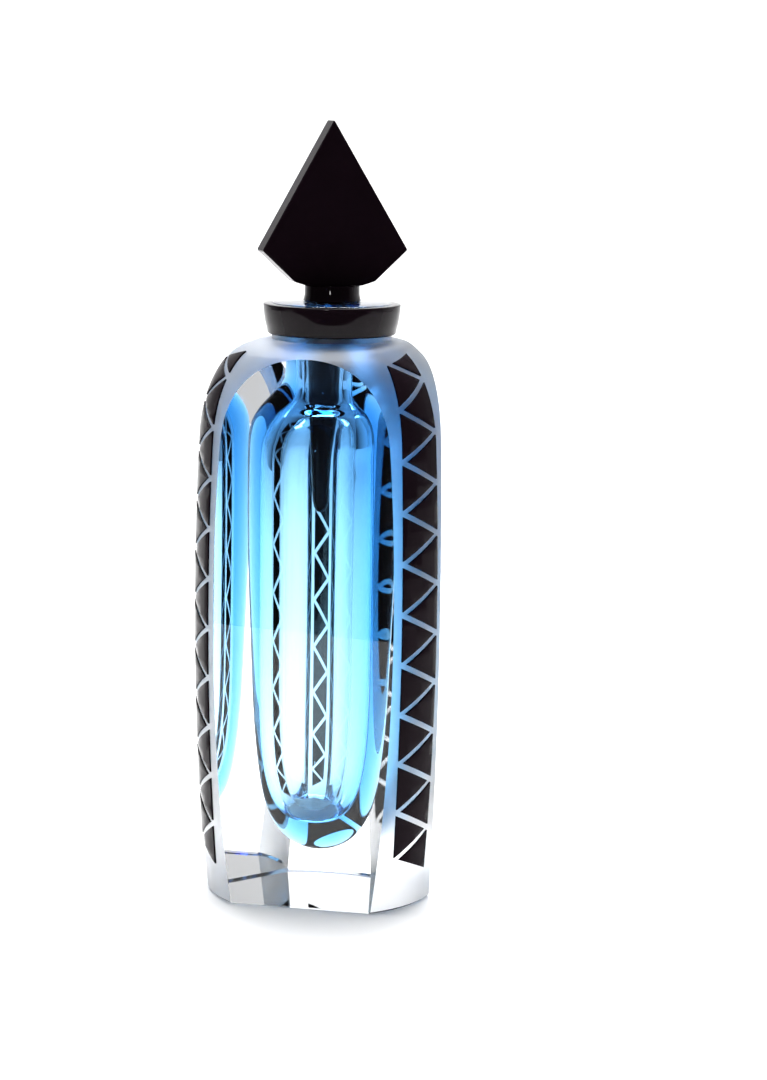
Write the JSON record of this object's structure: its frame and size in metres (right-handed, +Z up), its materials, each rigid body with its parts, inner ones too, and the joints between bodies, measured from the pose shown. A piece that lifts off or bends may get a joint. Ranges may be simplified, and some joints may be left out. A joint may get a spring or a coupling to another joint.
{
  "type": "perfume bottle",
  "caption": "Tall cut-glass perfume bottle: clear body with three polished flats over a blue bubble, carved black corner bands, ground stopper with diamond finial and dauber.",
  "frame": {"origin": "on the barrel's axis, on the surface the bottle stands on", "axes": "+Z up to the tip of the stopper, -Y out of the front polished flat, +X to the right seen from the front"},
  "size_m": [0.0614, 0.0549, 0.1899],
  "materials": {
    "clear_glass": "polished flats and base, fine frosted corners and shoulder",
    "blue_glass": "polished, deepest in the thick bottom",
    "black_glass": "polished opaque black"
  },
  "bodies": {
    "bottle": {"glass_casing": "clear_glass", "blue_liner": "blue_glass", "collar_band": "black_glass", "front_left_facet_01": "black_glass", "front_left_facet_02": "black_glass", "front_left_facet_03": "black_glass", "front_left_facet_04": "black_glass", "front_left_facet_05": "black_glass", "front_left_facet_06": "black_glass", "front_left_facet_07": "black_glass", "front_left_facet_08": "black_glass", "front_left_facet_09": "black_glass", "front_left_facet_10": "black_glass", "front_left_facet_11": "black_glass", "front_left_facet_12": "black_glass", "front_left_facet_13": "black_glass", "front_left_facet_14": "black_glass", "front_left_facet_15": "black_glass", "front_left_facet_16": "black_glass", "front_left_facet_17": "black_glass", "front_left_facet_18": "black_glass", "front_left_facet_19": "black_glass", "front_left_facet_20": "black_glass", "front_left_facet_21": "black_glass", "front_right_facet_01": "black_glass", "front_right_facet_02": "black_glass", "front_right_facet_03": "black_glass", "front_right_facet_04": "black_glass", "front_right_facet_05": "black_glass", "front_right_facet_06": "black_glass", "front_right_facet_07": "black_glass", "front_right_facet_08": "black_glass", "front_right_facet_09": "black_glass", "front_right_facet_10": "black_glass", "front_right_facet_11": "black_glass", "front_right_facet_12": "black_glass", "front_right_facet_13": "black_glass", "front_right_facet_14": "black_glass", "front_right_facet_15": "black_glass", "front_right_facet_16": "black_glass", "front_right_facet_17": "black_glass", "front_right_facet_18": "black_glass", "front_right_facet_19": "black_glass", "front_right_facet_20": "black_glass", "front_right_facet_21": "black_glass", "rear_band": "black_glass"},
    "stopper_plug": {"stopper_peg": "black_glass", "dauber_rod": "black_glass"},
    "stopper_top": {"stopper_finial": "black_glass"}
  },
  "joints": [
    {"name": "stopper_lift", "type": "slide", "parent": "bottle", "child": "stopper_plug", "axis": [0, 0, 1], "range_m": [0, 0.058]},
    {"name": "stopper_twist", "type": "hinge", "parent": "stopper_plug", "child": "stopper_top", "pos_m": [0.0011, 0, 0.15], "axis": [0, 0, 1], "continuous": true}
  ]
}
